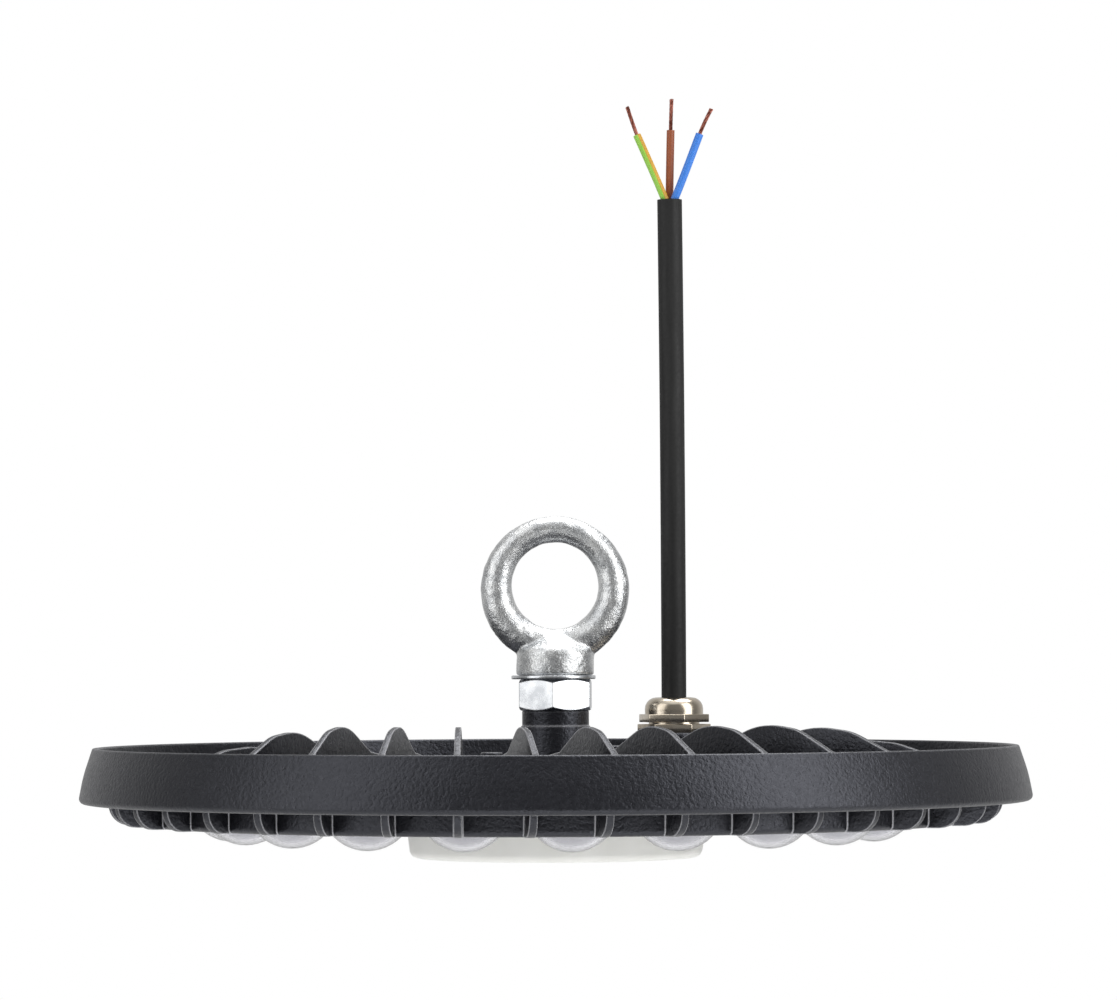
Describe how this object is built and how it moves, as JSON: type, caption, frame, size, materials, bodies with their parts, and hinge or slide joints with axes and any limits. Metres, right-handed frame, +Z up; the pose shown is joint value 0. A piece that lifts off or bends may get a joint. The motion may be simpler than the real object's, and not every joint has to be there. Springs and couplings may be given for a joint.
{
  "type": "high bay light",
  "caption": "Round high bay light with swirled cooling fins inside a ring, domed optics and a milky centre below, a hanging eye bolt and a short stranded supply cable.",
  "frame": {"origin": "on the lamp's axis, at the flat bottom of the centre cover", "axes": "+Z up along the eye bolt, +X towards the cable gland, +Y through the hole of the hanging eye"},
  "size_m": [0.2996, 0.2996, 0.2402],
  "materials": {
    "black_casting": "satin black powder coat on die-cast aluminium",
    "clear_polycarbonate": "clear moulded polycarbonate, polished",
    "milky_polycarbonate": "milky white moulded polycarbonate, satin",
    "seal_rubber": "matt moulded rubber",
    "screw_steel": "plain stainless steel",
    "white_circuit_board": "white solder mask on aluminium",
    "led_phosphor": "yellow phosphor in a white package",
    "lead_insulation": "extruded insulation",
    "nylon": "moulded nylon",
    "green_circuit_board": "green solder mask on glass-fibre board",
    "insulating_film": "polyester film",
    "ferrite": "ground ferrite",
    "winding_tape": "polyester winding tape",
    "capacitor_sleeve": "shrink sleeve",
    "winding_copper": "enamelled copper winding",
    "chip_epoxy": "moulded epoxy",
    "nickel_plate": "bright nickel plate on turned brass",
    "cable_rubber": "black extruded rubber sheath",
    "earth_insulation": "green extruded insulation with a yellow stripe",
    "live_insulation": "brown extruded insulation",
    "neutral_insulation": "blue extruded insulation",
    "bare_copper": "bare stranded copper",
    "forged_zinc": "bright zinc plate on rough forged steel",
    "bright_zinc": "bright zinc plate on turned steel"
  },
  "bodies": {
    "root": {"housing": "black_casting", "optic_plate": "clear_polycarbonate", "centre_cover": "milky_polycarbonate", "plate_gasket": "seal_rubber", "plate_screws": "screw_steel", "led_board": "white_circuit_board", "leds": "led_phosphor", "led_board_screws": "screw_steel", "led_leads": "lead_insulation", "led_connector": "nylon", "driver_board": "green_circuit_board", "driver_screws": "screw_steel", "insulating_sheet": "insulating_film", "transformer_core": "ferrite", "transformer_coil": "winding_tape", "capacitors": "capacitor_sleeve", "choke": "winding_copper", "driver_chips": "chip_epoxy", "terminal_block": "nylon", "inner_leads": "lead_insulation", "gland_body": "nickel_plate", "gland_o_ring": "seal_rubber", "gland_bush": "seal_rubber", "gland_cap": "nickel_plate", "cable_jacket": "cable_rubber", "earth_core": "earth_insulation", "live_core": "live_insulation", "neutral_core": "neutral_insulation", "earth_conductor": "bare_copper", "live_conductor": "bare_copper", "neutral_conductor": "bare_copper", "eye_bolt": "forged_zinc", "plain_washer": "bright_zinc", "lock_nut": "bright_zinc"}
  },
  "joints": []
}
